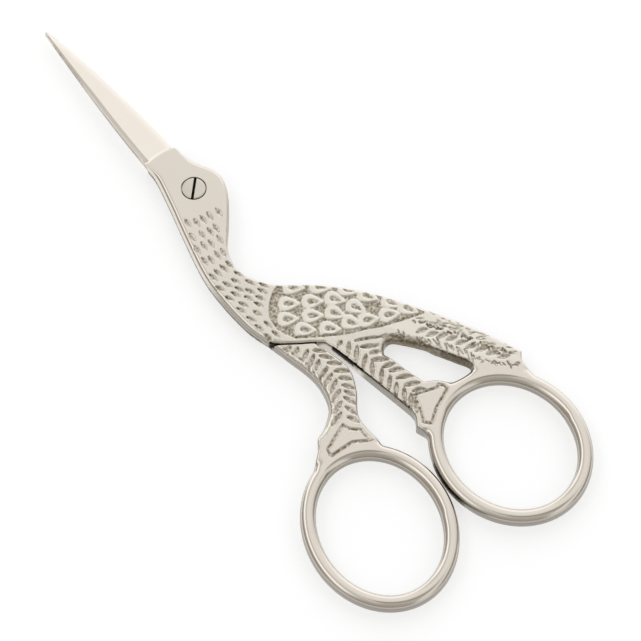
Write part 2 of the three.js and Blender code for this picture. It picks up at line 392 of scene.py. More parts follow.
front_loops = half_loops(front_outline(), FRONT_RING, tail_window())
rear_loops = half_loops(rear_outline(), REAR_RING)
print("points in the lines:", [[len(loop) for loop in loops] for loops in (front_loops, rear_loops)])

# %% Distances and heights
EDGE_ROUND = 0.45
BLADE_ROUND = 0.1
FULLNESS = 2.15  # of a rounding's section: 2 is a circle, and more is flatter on top
SOFTER_EDGES = [  # lines along edges that were rounded more, with their rounding
    (THROAT, 0.8), ([(-31.4, 7.4), (-35.6, 6.6), (-38.8, 6.7), (-42.0, 7.9), (-44.4, 10.5)], 1.1),
    ([(3.1, -3.3), (0.7, -4.5), (-1.6, -4.6), (-4.6, -3.2), (-8.3, -0.2)], 0.7),
    ([(-43.0, -9.2), (-40.3, -7.4), (-39.4, -6.4), (-39.6, -5.3)], 1.2),
]
SOFTER_FADE = (1.0, 2.6)  # distances from such a line where its rounding begins to give way, and ends
BAR_FADE = (BAR_WIDTH / 2 + 0.05, BAR_WIDTH / 2 + 0.9)  # the same for the ring's bar
FOOT_FADE = (0.4, 1.6)  # and for the foot
FOOT_ARC = (-95, 20)  # stretch of each opening, in degrees, that is rounded out where the bar joins the leg
FOOT_ROUND = 1.36
BAR_SINKS = (0.6, 4.5)  # distances from a ring's middle line over which the plate gets its full height
THINNING = 3.6  # over this length the rounding thins out to the blade's
THIN_PAST_HEEL = 0.1
REAR_SOFT_HEEL = 3.6  # how much further the soft throat edge runs under the rear half
ROUND_ANGLES = np.radians([14, 30, 46, 62, 78, 90])
ROW_CLEAR = 0.96  # a row's point is dropped where another edge is nearer than this share of its inset
FINE = 0.17  # grid under the engraving
COARSE = 0.6
STAGGER = 0.866  # rows of the grid are this much closer than its columns, as in even triangles
GRID_CLEAR = 0.15  # between the edge rows and the grid, at most
ENGRAVED = (-57.0, -3.2)  # from x to x
RING_END = 16  # from a ring's centre past its far end
CHUNK = 2000  # points measured at a time, to spare memory


def segment_distance(points, start, end):
    span = end - start
    share = np.clip(((points - start) * span).sum(-1) / np.maximum((span**2).sum(-1), 1e-12), 0, 1)
    return np.hypot(*(points - start - span * share[:, None]).T)


def edge_distance(loops, points):
    """How far each point lies from the nearest line."""
    before, start, end = (np.vstack([np.roll(loop, by, 0) for loop in loops]) for by in (1, 0, -1))
    found = []
    for first in range(0, len(points), CHUNK):
        part = points[first:first + CHUNK]
        apart = (part[:, None, 0] - start[None, :, 0]) ** 2 + (part[:, None, 1] - start[None, :, 1]) ** 2
        near = apart.argmin(1)
        ahead = segment_distance(part, start[near], end[near])
        behind = segment_distance(part, before[near], start[near])
        found.append(np.minimum(ahead, behind))
    return np.concatenate(found)


def line_distance(line, points):
    """How far each point lies from an open line."""
    line = np.asarray(line, float)
    return np.min([segment_distance(points, a, b) for a, b in zip(line, line[1:])], axis=0)


def edge_radius(ring, points):
    """The rounding of the nearest edge: full on the ring's bar, slight on the blades."""
    foot = ring_arc(ring, *FOOT_ARC, -BAR_WIDTH / 2)
    softened = [(line_distance(line, points), SOFTER_FADE, softer) for line, softer in SOFTER_EDGES]
    softened.append((np.abs(out_of_ring(ring, points)), BAR_FADE, BAR_ROUND))
    softened.append((line_distance(foot, points), FOOT_FADE, FOOT_ROUND))
    radius = np.full(len(points), EDGE_ROUND)
    for away, fade, softer in softened:
        radius += (softer - radius) * (1 - ramp(*fade, away))
    thinned = BLADE_HEEL + THIN_PAST_HEEL + REAR_SOFT_HEEL * (ring is REAR_RING) * (points[:, 1] > 0)
    return radius + (BLADE_ROUND - radius) * ramp(-THINNING, 0, points[:, 0] - thinned)


def half_height(ring, points):
    """Half the plate's thickness, a little less on the ring's bar."""
    on_ring = 1 - ramp(*BAR_SINKS, np.abs(out_of_ring(ring, points)))
    return (THICKNESS - (THICKNESS - BAR_HEIGHT) * on_ring) / 2


def edge_rows(ring, loops):
    """Points in rows inside the edge, closer together where the rounding is steep."""
    rows = []
    for loop in loops:
        ahead = np.roll(loop, -1, 0) - np.roll(loop, 1, 0)
        inward = np.c_[-ahead[:, 1], ahead[:, 0]] / np.hypot(*ahead.T)[:, None]
        radius = edge_radius(ring, loop)
        for angle in ROUND_ANGLES:
            inset = radius * (1 - math.cos(angle))
            row = loop + inward * inset[:, None]
            rows.append(row[edge_distance(loops, row) > ROW_CLEAR * inset])
    return np.vstack(rows)


def grid(ring, loops, step, low, high):
    """A staggered grid inside the lines, clear of the edge rows."""
    corners = np.vstack(loops)
    ends = np.vstack([np.roll(loop, -1, 0) for loop in loops])
    rows = []
    for count, y in enumerate(np.arange(corners[:, 1].min(), corners[:, 1].max(), step * STAGGER)):
        crossing = (corners[:, 1] > y) != (ends[:, 1] > y)
        a, b = corners[crossing], ends[crossing]
        walls = np.sort(a[:, 0] + (y - a[:, 1]) * (b[:, 0] - a[:, 0]) / (b[:, 1] - a[:, 1]))
        x = np.arange(low, high, step) + (count % 2) * step / 2
        x = x[np.searchsorted(walls, x) % 2 == 1]
        rows.append(np.c_[x, np.full(len(x), y)])
    points = np.vstack(rows)
    return points[edge_distance(loops, points) > edge_radius(ring, points) + min(step / 2, GRID_CLEAR)]


def plate(name, ring, loops):
    """A closed mesh of the plate, both faces alike, in millimetres."""
    grids = (
        (FINE, *ENGRAVED), (COARSE, ENGRAVED[1] + FINE, BLADE_REACH),
        (COARSE, ring["x"] - RING_END, ENGRAVED[0] - FINE),
    )
    loose = [edge_rows(ring, loops), *(grid(ring, loops, *stretch) for stretch in grids)]
    flat, tris, origin = triangulate(loops, np.vstack(loose))
    tris = within(tris, origin, 1)
    radius = edge_radius(ring, flat)
    outward = np.clip(1 - edge_distance(loops, flat) / radius, 0, 1)
    drop = radius * (1 - (1 - outward**FULLNESS) ** (1 / FULLNESS))
    rise = half_height(ring, flat) - drop
    count = len(flat)
    points = [np.c_[flat, MIDDLE + rise], np.c_[flat, MIDDLE - rise]]
    faces = tris + [tuple(i + count for i in reversed(tri)) for tri in tris]
    total = 2 * count
    for loop in rims(tris):
        top = np.array(loop)
        rows = [top]
        for share in (1 / 3, 2 / 3):
            points.append(np.c_[flat[top], MIDDLE + rise[top] * (1 - 2 * share)])
            rows.append(np.arange(total, total + len(top)))
            total += len(top)
        rows.append(top + count)
        for upper, lower in zip(rows, rows[1:]):
            faces.extend(np.c_[upper, lower, np.roll(lower, -1), np.roll(upper, -1)].tolist())
    return new_object(name, np.vstack(points), faces)


def new_object(name, points, faces):
    """A mesh object from points in millimetres, its unused points dropped."""
    mesh = bpy.data.meshes.new(name)
    mesh.from_pydata([tuple(p) for p in np.asarray(points, float) * MM], [], faces)
    work = bmesh.new()
    work.from_mesh(mesh)
    bmesh.ops.delete(work, geom=[v for v in work.verts if not v.link_faces], context="VERTS")
    bmesh.ops.recalc_face_normals(work, faces=work.faces)
    work.to_mesh(mesh)
    work.free()
    made = bpy.data.objects.new(name, mesh)
    bpy.context.scene.collection.objects.link(made)
    return made


front = plate("front_half_plated", FRONT_RING, front_loops)
rear = plate("rear_half_plated", REAR_RING, rear_loops)
print("front plate", len(front.data.vertices), "points, rear plate", len(rear.data.vertices), "points")

# %% [markdown]
# ## Grinding and fitting
# After forging, the blades are ground to a face that falls from the spine to the cutting edge,
# the spine's edge is broken by a narrow bevel, and the inner faces are milled to half the
# thickness so that one half lies on the other. Each of these steps takes metal away with a simple
# tool, so here a Boolean modifier takes the same tool's shape away, and its edges stay crisp.

# %% Cutting tools
LAP_GAP = 0.1
MODEL_GAP = 0.2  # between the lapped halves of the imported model, which sets how thick the blades are
LAYER = (THICKNESS - MODEL_GAP) / 2
TIP_THICKNESS = 0.8
EDGE_THICKNESS = 0.15
HEEL_WHEEL = 1.1  # radius of the wheel whose round mark is left at the heel
REAR_HEEL_WHEEL = 5.0
HEEL_SKEW = 0.09  # lean of the heel across the blade
HEEL_SLOPE = 3  # steepness of the tool's wall before the heel
HONED = 0.9  # width of the honed strip along the cutting edge
HONED_CURVE = 0.16  # how fast it falls away
REACH = 20
OVER_ALL = 9  # a height above everything, where the tools end
BESIDE = 2  # how far the grinding tool sticks out past the spine
UNDER_EDGE = 0.6  # and past the cutting edge
FACE_POINTS = 14
FALL = (LAYER - EDGE_THICKNESS) / (SPINE_WIDTH + EDGE_WIDTH)
TIP_FALL = (LAYER - TIP_THICKNESS) / (BLADE_REACH - BLADE_HEEL)
# Each facet of the bevel along the spine: where it starts, as a share of the width, and its slope.
SPINE_FACETS = [(0.0, 0.23), (0.12, 0.13), (0.3, 0.055), (0.82, 0.24)]
SPINE_BEVEL = 0.78
# Shares of the blade's length where the tool has a section, closest together at the heel.
STATIONS = np.r_[np.linspace(-0.05, -0.01, 5), np.linspace(-0.006, 0.06, 34), np.linspace(0.075, 1.02, 46)]


def loft(name, sections):
    """A closed skin over sections that have the same number of points."""
    count = len(sections[0])
    last = (len(sections) - 1) * count
    faces = [tuple(range(count)), tuple(range(last + count - 1, last - 1, -1))]
    for row in range(0, last, count):
        for i in range(count):
            a, b = row + i, row + (i + 1) % count
            faces.append((a, b, b + count, a + count))
    return new_object(name, np.vstack(sections), faces)


def prism(name, outline, low, high):
    """A plane outline given height."""
    return loft(name, [[(x, y, z) for x, y in outline] for z in (low, high)])


def lathe(name, profile, sides=96):
    """A solid of revolution about the pivot axis, from radius and height pairs."""
    circle = [(math.cos(a), math.sin(a)) for a in np.arange(sides) * 2 * math.pi / sides]
    return loft(name, [[(radius * x, radius * y, z) for x, y in circle] for radius, z in profile])


def ground_height(x, y, back):
    """Height of the front blade's ground face, which curves down to a honed cutting edge."""
    flat = THICKNESS - FALL * (SPINE_WIDTH - y) - TIP_FALL * (x - BLADE_HEEL) * (1 - FALL)
    near_edge = np.clip(HONED - (y + back), 0, None)
    return flat - HONED_CURVE * near_edge**2


def heel_rise(x, y, floor, wheel):
    """Height of the round mark that the wheel leaves at the heel, where it runs out of the steel."""
    along = x - BLADE_HEEL - HEEL_SKEW * (y - SPINE_WIDTH)
    if along < 0:
        return min(THICKNESS - HEEL_SLOPE * along, OVER_ALL)
    over = max(wheel - max(THICKNESS - floor, 0), 0)
    reach = math.sqrt(wheel**2 - over**2)
    left = max(reach - along, 0)
    return floor + wheel - math.sqrt(wheel**2 - left**2)


def blade_section(x, half, back, wheel):
    """What is ground off at one place, across the blade: spine bevel, face and honed strip."""
    width = SPINE_BEVEL * (0.4 + 0.6 * min(1, half / 2))  # narrower where the blade is slender
    inner = half - width
    y, z = inner, ground_height(x, inner, back)
    ends = [share for share, _ in SPINE_FACETS[1:]] + [1 + BESIDE / width]
    bevel = [(y, z)]
    for (share, slope), end in zip(SPINE_FACETS, ends):
        step = (end - share) * width
        y, z = y + step, z - slope * step
        bevel.append((y, z))
    face = [(y, ground_height(x, y, back)) for y in np.linspace(inner, -back - UNDER_EDGE, FACE_POINTS)[1:]]
    across = [(bevel[-1][0], OVER_ALL), *bevel[::-1], *face, (face[-1][0], OVER_ALL)]
    return [(x, y, max(z, heel_rise(x, y, z, wheel))) for y, z in across]


def grinding_tool(wheel):
    """All that is ground off the front blade, from its heel to its tip."""
    sections = []
    for x in BLADE_HEEL + (BLADE_REACH - BLADE_HEEL) * STATIONS:
        half, edge = (float(np.interp(x, *side.T)) for side in (spine_side(), edge_side()))
        sections.append(blade_section(x, half, -edge, wheel))
    return loft("grinding", sections)


def turned_over(tool):
    """The same tool at work on the rear half, which faces the other way."""
    flip = Matrix.Translation((0, 0, MIDDLE * MM)) @ Matrix.Rotation(math.pi, 4, "X")
    tool.data.transform(flip @ Matrix.Translation((0, 0, -MIDDLE * MM)))
    return tool


def baked(piece):
    """Turns what a piece's modifiers give into its own plain mesh."""
    old = piece.data
    piece.data = bpy.data.meshes.new_from_object(piece.evaluated_get(bpy.context.evaluated_depsgraph_get()))
    piece.modifiers.clear()
    bpy.data.meshes.remove(old)


def cut(piece, *tools):
    """Takes the tools' shapes away from a piece, one after the other."""
    for tool in tools:
        modifier = piece.modifiers.new("cut", "BOOLEAN")
        modifier.solver = "MANIFOLD"
        modifier.operation = "DIFFERENCE"
        modifier.object = tool
        baked(piece)
        bpy.data.objects.remove(tool)


# %% Cut the halves
SCREW_HEAD = 3.7
SCREW_HEAD_HEIGHT = 0.7
SCREW_SHANK = 2.0
SCREW_CLEARANCE = 0.15
SEAT_CLEARANCE = 0.1  # round the screw's head
SEAT_BEVEL = 0.08
SPLIT_GAP = 0.28  # the dark line where the rear half goes under the body
FAR = BLADE_REACH + REACH
last_x, last_y = REAR_LEG_INSIDE[0]
UNDERSIDE = [
    *moved(UNDER_NECK, SIDE_GAP, -SIDE_GAP), (last_x - 1.5, last_y - SIDE_GAP), (last_x - 1.5, REACH),
    (FAR, REACH), (FAR, -REACH), (NAPE[0] + SIDE_GAP, -REACH),
]
UPSIDE = [
    (BELLY[0] - 0.5, BELLY[1] + 0.3), *moved(SPLIT, -SPLIT_GAP * 0.8, SPLIT_GAP * 0.6),
    (SPLIT[-1][0] - SIDE_GAP, -REACH), (FAR, -REACH), (FAR, REACH), (BELLY[0] + 0.4, REACH),
]


def shank_hole():
    radius = SCREW_SHANK / 2 + SCREW_CLEARANCE
    return lathe("shank_hole", [(radius, -1), (radius, THICKNESS + 1)])


def head_seat():
    radius = SCREW_HEAD / 2 + SEAT_CLEARANCE
    floor = THICKNESS - SCREW_HEAD_HEIGHT - SCREW_CLEARANCE
    bevel = [(radius + rise, THICKNESS - SEAT_BEVEL + rise) for rise in (0, SEAT_BEVEL, SEAT_BEVEL + 1)]
    return lathe("head_seat", [(radius, floor), *bevel])


front_lap = prism("lap", UNDERSIDE, -REACH, MIDDLE + LAP_GAP / 2)
rear_lap = prism("lap", UPSIDE, MIDDLE - LAP_GAP / 2, THICKNESS + REACH)
cut(front, grinding_tool(HEEL_WHEEL), front_lap, head_seat(), shank_hole())
cut(rear, turned_over(grinding_tool(REAR_HEEL_WHEEL)), rear_lap, shank_hole())
print("front half", len(front.data.polygons), "faces, rear half", len(rear.data.polygons), "faces")

# %% [markdown]
# ## One helper for nodes
# Geometry and materials are both made with nodes. This helper adds a node, sets its properties,
# and fills its sockets with a value or with a link from another node.

# %% Node helper
MATH = "ShaderNodeMath"
RANGE = "ShaderNodeMapRange"  # takes a value, the range that it runs over, and the range that it gives
MIX = "ShaderNodeMix"  # takes a share at 0, and two numbers at 2 and 3 or two colours at 6 and 7
NOISE = "ShaderNodeTexNoise"


def fill(tree, node, inputs):
    """Fills inputs by name or in order: with a value, from a socket, or from a node's first output."""
    for key, value in inputs.items() if isinstance(inputs, dict) else enumerate(inputs):
        if isinstance(value, bpy.types.Node):
            value = next(socket for socket in value.outputs if socket.enabled)
        if isinstance(value, bpy.types.NodeSocket):
            tree.links.new(value, node.inputs[key])
        else:
            node.inputs[key].default_value = value
    return node


def add(tree, kind, inputs=None, **settings):
    """Adds a node with its settings and what goes into it."""
    node = tree.nodes.new(kind)
    for name, value in settings.items():
        setattr(node, name, value)
    return fill(tree, node, inputs or {})


def srgb(code):
    """An sRGB hex colour as the linear values that shaders take."""
    values = [int(code[i:i + 2], 16) / 255 for i in (1, 3, 5)]
    linear = [v / 12.92 if v <= 0.04045 else ((v + 0.055) / 1.055) ** 2.4 for v in values]
    return (*linear, 1.0)


def layered(tree, colour, *layers):
    """A colour with others laid over it, each as far as its share says."""
    for share, code in layers:
        colour = add(tree, MIX, {0: share, 6: colour, 7: srgb(code)}, data_type="RGBA")
    return colour


def new_material(name):
    """A material, with its tree and its shader."""
    material = bpy.data.materials.new(name)
    material.use_nodes = True
    return material, material.node_tree, material.node_tree.nodes["Principled BSDF"]


print("mid grey is", [round(v, 3) for v in srgb("#808080")[:3]])

# %% [markdown]
# ## Nickel-plated steel
# The halves are plated with nickel and polished on a wheel. Nickel is a slightly warm white metal.
# The wheel leaves a soft, faintly cloudy gloss on the flats, and a duller one where it only skims
# the plumage. It doesn't reach into the engraving, where old polish has dried to brown specks. The
# steep sides are tinted grey as painted shade, and the stain also carries painted shade, brown to
# near black, in the gaps between the parts and low on the walls. The mesh stores how stained, how
# steep and how dull each point is, and the material reads all three.

# %% Materials
SPECK = 0.42  # mm, size of the specks of dried polish
CLOUD = 6.0  # mm, size of the soft patches left by the wheel
SCRATCH = 0.12  # mm, spacing of polishing lines, drawn coarser than the real ones so that they show
TURNING = 0.5  # mm, scale of the rings that turning leaves, drawn coarser for the same reason


def plated_steel():
    """Nickel: glossy, duller on the plumage, brown in the marks, painted shade on the sides and gaps."""
    material, tree, shader = new_material("nickel_plated_steel")
    place = add(tree, "ShaderNodeTexCoord").outputs["Object"]
    stain, steep, satin = (
        add(tree, "ShaderNodeAttribute", attribute_name=name).outputs["Fac"]
        for name in ("stain", "steep", "satin")
    )
    specks, clouds, lines = (
        add(tree, NOISE, {"Vector": place, "Scale": 1 / (size * MM), "Detail": detail})
        for size, detail in ((SPECK, 3.0), (CLOUD, 2.0), (SCRATCH, 2.0))
    )
    patchy = add(tree, RANGE, [specks, 0.34, 0.66, 0.35, 1.4])
    polish_and_shade = add(tree, MATH, [stain, patchy], operation="MULTIPLY", use_clamp=True)
    soot_and_shade = add(tree, RANGE, [stain, 0.75, 1.0])
    # The grey steep layer is painted shade on the sides. The stain holds the brown of dried polish in the
    # marks and also painted shade laid dark in the gaps, so its brown and near-black layers paint both.
    colour = layered(
        tree, srgb("#e9e0d6"), (clouds, "#efe8de"), (satin, "#fbf6ec"), (steep, "#9c968e"),
        (polish_and_shade, "#827459"), (soot_and_shade, "#1b1813"),
    )
    rough = add(tree, RANGE, [clouds, 0.3, 0.7, 0.14, 0.2])
    for share, rougher in ((satin, 0.36), (polish_and_shade, 0.5)):
        rough = add(tree, MIX, {0: share, 2: rough, 3: rougher})
    bump = add(tree, "ShaderNodeBump", {"Height": lines, "Strength": 0.05, "Distance": 0.02 * MM})
    fill(tree, shader, {"Base Color": colour, "Roughness": rough, "Normal": bump, "Metallic": 1.0})
    return material


def turned_steel():
    """The screw: turned steel with fine rings about its axis, and black painted shade down its slot and
    sides.
    """
    material, tree, shader = new_material("turned_screw_steel")
    place = add(tree, "ShaderNodeTexCoord").outputs["Object"]
    rings = add(
        tree, "ShaderNodeTexWave", wave_type="RINGS", rings_direction="Z",
        inputs={"Vector": place, "Scale": 1 / (TURNING * MM), "Distortion": 1.0, "Detail": 2.0},
    )
    clouds = add(tree, NOISE, {"Vector": place, "Scale": 1 / (1.5 * MM)})
    height = add(tree, "ShaderNodeSeparateXYZ", [place]).outputs[2]
    # Painted shade: from just under the head's top face down to near the bottom, the slot walls and the
    # head's sides are laid near black.
    below = add(tree, RANGE, [height, (THICKNESS - 0.02) * MM, (THICKNESS - 0.14) * MM])
    above = add(tree, RANGE, [height, 0.2 * MM, 0.5 * MM])
    painted_shade = add(tree, MATH, [below, above], operation="MULTIPLY")
    colour = layered(tree, srgb("#dfd8cc"), (clouds, "#e8e2d7"), (painted_shade, "#1e1a14"))
    bump = add(
        tree, "ShaderNodeBump", {"Height": rings.outputs["Fac"], "Strength": 0.1, "Distance": 0.01 * MM})
    fill(tree, shader, {"Base Color": colour, "Roughness": 0.28, "Normal": bump, "Metallic": 1.0})
    return material


nickel = plated_steel()
screw_steel = turned_steel()
print("materials:", nickel.name, screw_steel.name)

# %% [markdown]
# ## Engraving with Geometry Nodes
# The plumage is cut into the steel by a few simple tools used over and over: a gouge for the
# dimples of the neck and the barbs of the legs, a liner for the borders, and a teardrop punch for
# the scales of the wing. Each tool is a node tree. It measures how far each point of the steel
# lies from the strokes on the drawing, and writes how deep the point is cut, and how much polish
# has dried there, to attributes named sunk and stain. One last tree pushes the points in. The
# marks count alike on both faces of the plate, because these scissors carry the same pattern on
# both.

# %% Shared parts of the trees
ENGRAVED_FROM = 0.75 * MM  # distance from the middle of the plate, where a face begins to take marks
ENGRAVED_FULL = ENGRAVED_FROM + 0.3 * MM
STAIN_SPREAD = 2.5  # how much sooner than its depth a mark's stain is full
LENGTHS = {"Length", "Width", "Depth", "Wall", "Grit", "GritDepth", "Wave", "WaveDepth"}
INPUT_KINDS = {"Geometry": "Geometry", "Material": "Material", "Path": "Object"}  # others are numbers


def new_tree(name, *sizes):
    """A tree with the steel coming in, and inputs for its drawing, its sizes and its material."""
    tree = bpy.data.node_groups.new(name, "GeometryNodeTree")
    for label in ("Geometry", *sizes, "Material"):
        kind = "NodeSocket" + INPUT_KINDS.get(label, "Float")
        tree.interface.new_socket(label, in_out="INPUT", socket_type=kind)
    tree.interface.new_socket("Geometry", in_out="OUTPUT", socket_type="NodeSocketGeometry")
    return tree, tree.nodes.new("NodeGroupInput").outputs


def drawing(tree, given):
    return add(tree, "GeometryNodeObjectInfo", {"Object": given["Path"]}).outputs["Geometry"]


def flat_place(tree):
    """Where each point of the steel lies on the drawing, its height left out."""
    here = add(tree, "GeometryNodeInputPosition")
    return add(tree, "ShaderNodeVectorMath", [here, (1, 1, 0)], operation="MULTIPLY")


def so_far(tree, name):
    return add(tree, "GeometryNodeInputNamedAttribute", {"Name": name}, data_type="FLOAT")


def stored(tree, geometry, name, value):
    """The geometry with a number kept on each of its points."""
    kept = {"Geometry": geometry, "Name": name, "Value": value}
    return add(tree, "GeometryNodeStoreNamedAttribute", kept, data_type="FLOAT", domain="POINT")


def finished(tree, given, geometry):
    """Every tree ends with real geometry and its material."""
    real = add(tree, "GeometryNodeRealizeInstances", {"Geometry": geometry})
    coated = add(tree, "GeometryNodeSetMaterial", {"Geometry": real, "Material": given["Material"]})
    add(tree, "NodeGroupOutput", [coated])
    return tree


def closeness(tree, shape, element, wall, floor=0.0):
    """1 on a shape and 0 past the wall round it. A share of the wall, the floor, still counts as 1."""
    near = {0: shape, "Sample Position": flat_place(tree)}
    away = add(tree, "GeometryNodeProximity", near, target_element=element).outputs["Distance"]
    ratio = add(tree, MATH, [away, wall], operation="DIVIDE")
    return add(tree, RANGE, [ratio, 1.0, floor, 0.0, 1.0], interpolation_type="SMOOTHSTEP")


def lessened(tree, along, amount):
    """1 where `along` is 0, and less by `amount` where it is 1."""
    lost = add(tree, MATH, [along, amount], operation="MULTIPLY")
    return add(tree, MATH, [1.0, lost], operation="SUBTRACT")


def marked(tree, given, bite, strength=1.0):
    """Keeps the deeper of this tool's mark and what was there. A bite of 1 is the full mark."""
    spread = add(tree, MATH, [bite, STAIN_SPREAD], operation="MULTIPLY", use_clamp=True)
    steel = given["Geometry"]
    for name, full, share in (("sunk", given["Depth"], bite), ("stain", given["Stain"], spread)):
        kept = add(tree, MATH, [full, strength], operation="MULTIPLY")
        mark = add(tree, MATH, [kept, share], operation="MULTIPLY")
        deeper = add(tree, MATH, [so_far(tree, name), mark], operation="MAXIMUM")
        steel = stored(tree, steel, name, deeper)
    return finished(tree, given, steel)


# %% The gouge
STROKE_POINTS = 14


def gouge_tree():
    """Leaf-shaped strokes. Leaf narrows both ends, Taper the far end, and Fade makes it shallower."""
    tree, given = new_tree(
        "gouge_strokes", "Path", "Width", "Depth", "Stain", "Leaf", "Taper", "Fade", "Floor")
    evenly = {"Curve": drawing(tree, given), "Count": STROKE_POINTS}
    line = add(tree, "GeometryNodeResampleCurve", evenly, mode="COUNT")
    along = stored(tree, line, "along", add(tree, "GeometryNodeSplineParameter"))
    strokes = add(tree, "GeometryNodeCurveToMesh", [along])
    nearest = add(tree, "GeometryNodeSampleNearest", [strokes, flat_place(tree)], domain="POINT")
    wanted = [strokes, so_far(tree, "along"), nearest]
    share = add(tree, "GeometryNodeSampleIndex", wanted, data_type="FLOAT", domain="POINT")
    from_middle = add(tree, MATH, [share, 2.0, -1.0], operation="MULTIPLY_ADD")
    square = add(tree, MATH, [from_middle, from_middle], operation="MULTIPLY")
    radius = add(tree, MATH, [given["Width"], 0.5], operation="MULTIPLY")
    for kept in (lessened(tree, square, given["Leaf"]), lessened(tree, share, given["Taper"])):
        radius = add(tree, MATH, [radius, kept], operation="MULTIPLY")
    bite = closeness(tree, strokes, "EDGES", radius, given["Floor"])
    return marked(tree, given, bite, lessened(tree, share, given["Fade"]))


# %% The liner, the punch and the ground
PUNCH_HALVES = (0.5, 0.6, 0.0)  # of its length and its width, which is widest behind the middle


def plain_tree(name, kind, element, **settings):
    """A mark along drawn lines, or over the area inside them, with a wall on each side."""
    tree, given = new_tree(name, "Path", "Wall", "Depth", "Stain", "Floor")
    shape = add(tree, kind, [drawing(tree, given)], **settings)
    return marked(tree, given, closeness(tree, shape, element, given["Wall"], given["Floor"]))


def punch_tree():
    """Teardrops on the points of paths, sunk to a depth, or left standing where Stand is 1."""
    tree, given = new_tree(
        "teardrop_punch", "Path", "Lean", "Length", "Width", "Point", "Wall", "Depth", "Stain", "Stand")
    tangent = add(tree, "GeometryNodeInputTangent")
    aligned = add(tree, "FunctionNodeAlignRotationToVector", {"Vector": tangent}, axis="X", pivot_axis="Z")
    angle = add(tree, "ShaderNodeCombineXYZ", {2: given["Lean"]})
    lean = add(tree, "FunctionNodeEulerToRotation", [angle])
    leaned = add(tree, "FunctionNodeRotateRotation", [aligned, lean], rotation_space="LOCAL")
    disc = add(tree, "GeometryNodeMeshCircle", {"Vertices": 40, "Radius": 1.0}, fill_type="NGON")
    place = add(tree, "ShaderNodeSeparateXYZ", [add(tree, "GeometryNodeInputPosition")]).outputs
    narrower = add(tree, RANGE, [place[0], -1.0, 1.0, 1.0, given["Point"]])
    pinched = add(tree, MATH, [place[1], narrower], operation="MULTIPLY")
    shape = add(tree, "ShaderNodeCombineXYZ", [place[0], pinched])
    size = add(tree, "ShaderNodeCombineXYZ", [given["Length"], given["Width"]])
    for factor in (size, PUNCH_HALVES):
        shape = add(tree, "ShaderNodeVectorMath", [shape, factor], operation="MULTIPLY")
    drop = add(tree, "GeometryNodeSetPosition", {"Geometry": disc, "Position": shape})
    copies = {"Points": drawing(tree, given), "Instance": drop, "Rotation": leaned}
    placed = add(tree, "GeometryNodeInstanceOnPoints", copies)
    drops = add(tree, "GeometryNodeRealizeInstances", {"Geometry": placed})
    inside = closeness(tree, drops, "FACES", given["Wall"])
    rest = lessened(tree, inside, given["Stand"])
    steel = given["Geometry"]
    for name, full in (("sunk", given["Depth"]), ("stain", given["Stain"])):
        left = add(tree, MATH, [so_far(tree, name), rest], operation="MULTIPLY")
        pressed = add(tree, MATH, [full, inside], operation="MULTIPLY")
        steel = stored(tree, steel, name, add(tree, MATH, [left, pressed], operation="MAXIMUM"))
    return finished(tree, given, steel)


def press_tree():
    """Pushes the marked points in. Stained ground is gritty, and dull ground rolls a little."""
    tree, given = new_tree("press_in", "Grit", "GritDepth", "Wave", "WaveDepth")
    here = add(tree, "GeometryNodeInputPosition")
    height = add(tree, "ShaderNodeSeparateXYZ", [here]).outputs[2]
    inward = add(tree, MATH, [MIDDLE * MM, height], operation="SUBTRACT")
    far = add(tree, MATH, [inward], operation="ABSOLUTE")
    face = add(tree, RANGE, [far, ENGRAVED_FROM, ENGRAVED_FULL], interpolation_type="SMOOTHSTEP")
    noises = []
    for size in ("Grit", "Wave"):
        scale = add(tree, MATH, [1.0, given[size]], operation="DIVIDE")
        noises.append(add(tree, NOISE, {"Vector": here, "Scale": scale, "Detail": 1.0}))
    stain = so_far(tree, "stain")
    gritty = add(tree, RANGE, [stain, 0.3, 0.6, 0.0, given["GritDepth"]])
    grit = add(tree, MATH, [noises[0], 0.5], operation="SUBTRACT")
    rough = add(tree, MATH, [grit, gritty, so_far(tree, "sunk")], operation="MULTIPLY_ADD")
    wave = add(tree, MATH, [noises[1], given["WaveDepth"]], operation="MULTIPLY")
    uneven = add(tree, MATH, [wave, so_far(tree, "satin"), rough], operation="MULTIPLY_ADD")
    depth = add(tree, MATH, [uneven, face], operation="MULTIPLY")
    way = add(tree, MATH, [inward], operation="SIGN")
    push = add(tree, MATH, [way, depth], operation="MULTIPLY")
    shown = add(tree, MATH, [stain, face], operation="MULTIPLY", use_clamp=True)
    steel = stored(tree, given["Geometry"], "stain", shown)
    offset = add(tree, "ShaderNodeCombineXYZ", {2: push})
    pressed = add(tree, "GeometryNodeSetPosition", {"Geometry": steel, "Offset": offset})
    return finished(tree, given, pressed)


GOUGE = gouge_tree()
LINER = plain_tree("lined_border", "GeometryNodeCurveToMesh", "EDGES")
GROUND = plain_tree("sunk_ground", "GeometryNodeFillCurve", "FACES", mode="TRIANGLES")
PUNCH = punch_tree()
PRESS = press_tree()
print("trees:", [tree.name for tree in (GOUGE, LINER, GROUND, PUNCH, PRESS)])

# %% Paths and the use of a tool


def path(lines, closed):
    """Lines on the drawing as one curve object, which only the trees read."""
    data = bpy.data.curves.new("path", "CURVE")
    data.dimensions = "3D"
    for line in lines:
        spline = data.splines.new("POLY")
        spline.points.add(len(line) - 1)
        for target, (x, y) in zip(spline.points, line):
            target.co = (x * MM, y * MM, 0, 1)
        spline.use_cyclic_u = closed
    made = bpy.data.objects.new("path", data)
    bpy.context.scene.collection.objects.link(made)
    return made


